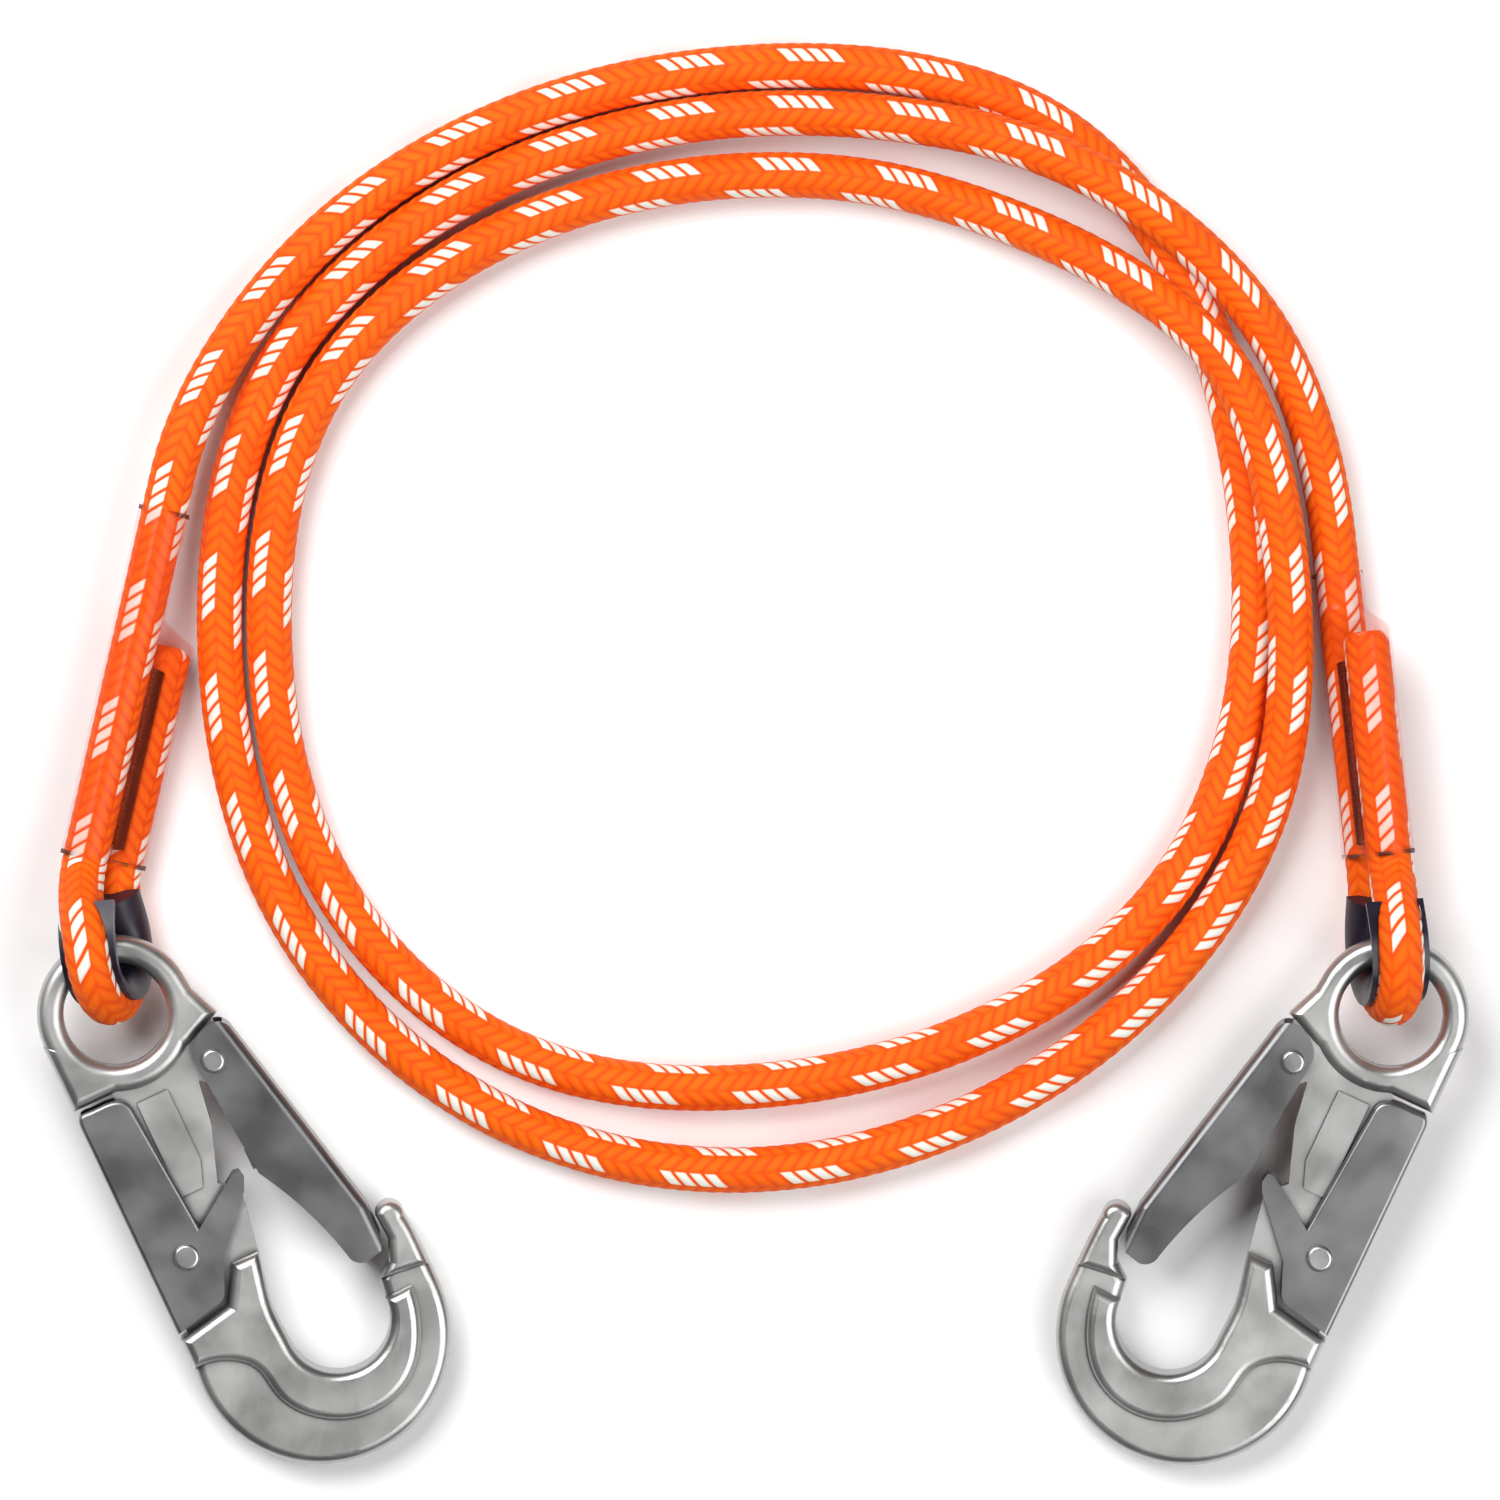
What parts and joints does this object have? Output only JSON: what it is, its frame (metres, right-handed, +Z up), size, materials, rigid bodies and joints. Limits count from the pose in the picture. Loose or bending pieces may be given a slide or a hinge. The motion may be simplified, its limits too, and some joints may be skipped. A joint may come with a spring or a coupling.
{
  "type": "rope lanyard with snap hooks",
  "caption": "Coiled orange kernmantle rope lanyard with a sewn, thimbled eye and a double-action steel snap hook at each end.",
  "frame": {"origin": "on the floor under the middle of the lanyard as it lies coiled", "axes": "+Z up from the floor, +Y from the hooks towards the top of the coil, +X to the right hook"},
  "size_m": [0.3244, 0.3232, 0.0344],
  "materials": {
    "rope_cover": "braided polyester sheath, orange with white tracers",
    "sleeve": "clear heat-shrink film",
    "thread": "black bonded thread",
    "thimble": "moulded black plastic",
    "forged_steel": "zinc-plated, satin",
    "sheet_steel": "zinc-plated, satin",
    "rivet_steel": "bright",
    "spring_steel": "bright wire"
  },
  "bodies": {
    "coil": {"rope_coil": "rope_cover"},
    "left_rope_end": {"left_eye_rope": "rope_cover", "left_thimble": "thimble", "left_shrink_sleeve": "sleeve", "left_stitching": "thread"},
    "left_hook": {"left_hook_body": "forged_steel", "left_gate_rivet": "rivet_steel", "left_gate_spring": "spring_steel", "left_lever_rivet": "rivet_steel", "left_lever_spring": "spring_steel"},
    "left_gate": {"left_gate": "sheet_steel"},
    "left_lever": {"left_lock_lever": "sheet_steel"},
    "right_rope_end": {"right_eye_rope": "rope_cover", "right_thimble": "thimble", "right_shrink_sleeve": "sleeve", "right_stitching": "thread"},
    "right_hook": {"right_hook_body": "forged_steel", "right_gate_rivet": "rivet_steel", "right_gate_spring": "spring_steel", "right_lever_rivet": "rivet_steel", "right_lever_spring": "spring_steel"},
    "right_gate": {"right_gate": "sheet_steel"},
    "right_lever": {"right_lock_lever": "sheet_steel"}
  },
  "joints": [
    {"name": "left_rope_flex", "type": "hinge", "parent": "coil", "child": "left_rope_end", "pos_m": [-0.1326, 0.064, 0.01326], "axis": [-0.9751, 0.2215, 0], "range_deg": [0, 45]},
    {"name": "left_hook_swing", "type": "hinge", "parent": "left_rope_end", "child": "left_hook", "pos_m": [-0.1452, -0.0569, 0.016], "axis": [-0.0395, 0.0847, -0.9956], "range_deg": [-14, 45]},
    {"name": "left_gate_hinge", "type": "hinge", "parent": "left_hook", "child": "left_gate", "pos_m": [-0.12314, -0.06705, 0.01426], "axis": [-0.0395, 0.0847, -0.9956], "range_deg": [0, 20], "deforming": ["left_gate_spring"]},
    {"name": "left_lever_hinge", "type": "hinge", "parent": "left_hook", "child": "left_lever", "pos_m": [-0.12932, -0.11178, 0.0107], "axis": [-0.0395, 0.0847, -0.9956], "range_deg": [0, 12], "deforming": ["left_lever_spring"]},
    {"name": "right_rope_flex", "type": "hinge", "parent": "coil", "child": "right_rope_end", "pos_m": [0.1311, 0.05, 0.0059], "axis": [-0.9942, -0.108, 0], "range_deg": [0, 45]},
    {"name": "right_hook_swing", "type": "hinge", "parent": "right_rope_end", "child": "right_hook", "pos_m": [0.1436, -0.0572, 0.016], "axis": [-0.0395, -0.0847, 0.9956], "range_deg": [-14, 45]},
    {"name": "right_gate_hinge", "type": "hinge", "parent": "right_hook", "child": "right_gate", "pos_m": [0.12154, -0.06735, 0.01426], "axis": [-0.0395, -0.0847, 0.9956], "range_deg": [0, 20], "deforming": ["right_gate_spring"]},
    {"name": "right_lever_hinge", "type": "hinge", "parent": "right_hook", "child": "right_lever", "pos_m": [0.12772, -0.11208, 0.0107], "axis": [-0.0395, -0.0847, 0.9956], "range_deg": [0, 12], "deforming": ["right_lever_spring"]}
  ],
  "couplings": [
    {"joint": "left_lever_hinge", "follows": "left_gate_hinge", "ratio": 0.6},
    {"joint": "right_lever_hinge", "follows": "right_gate_hinge", "ratio": 0.6}
  ]
}
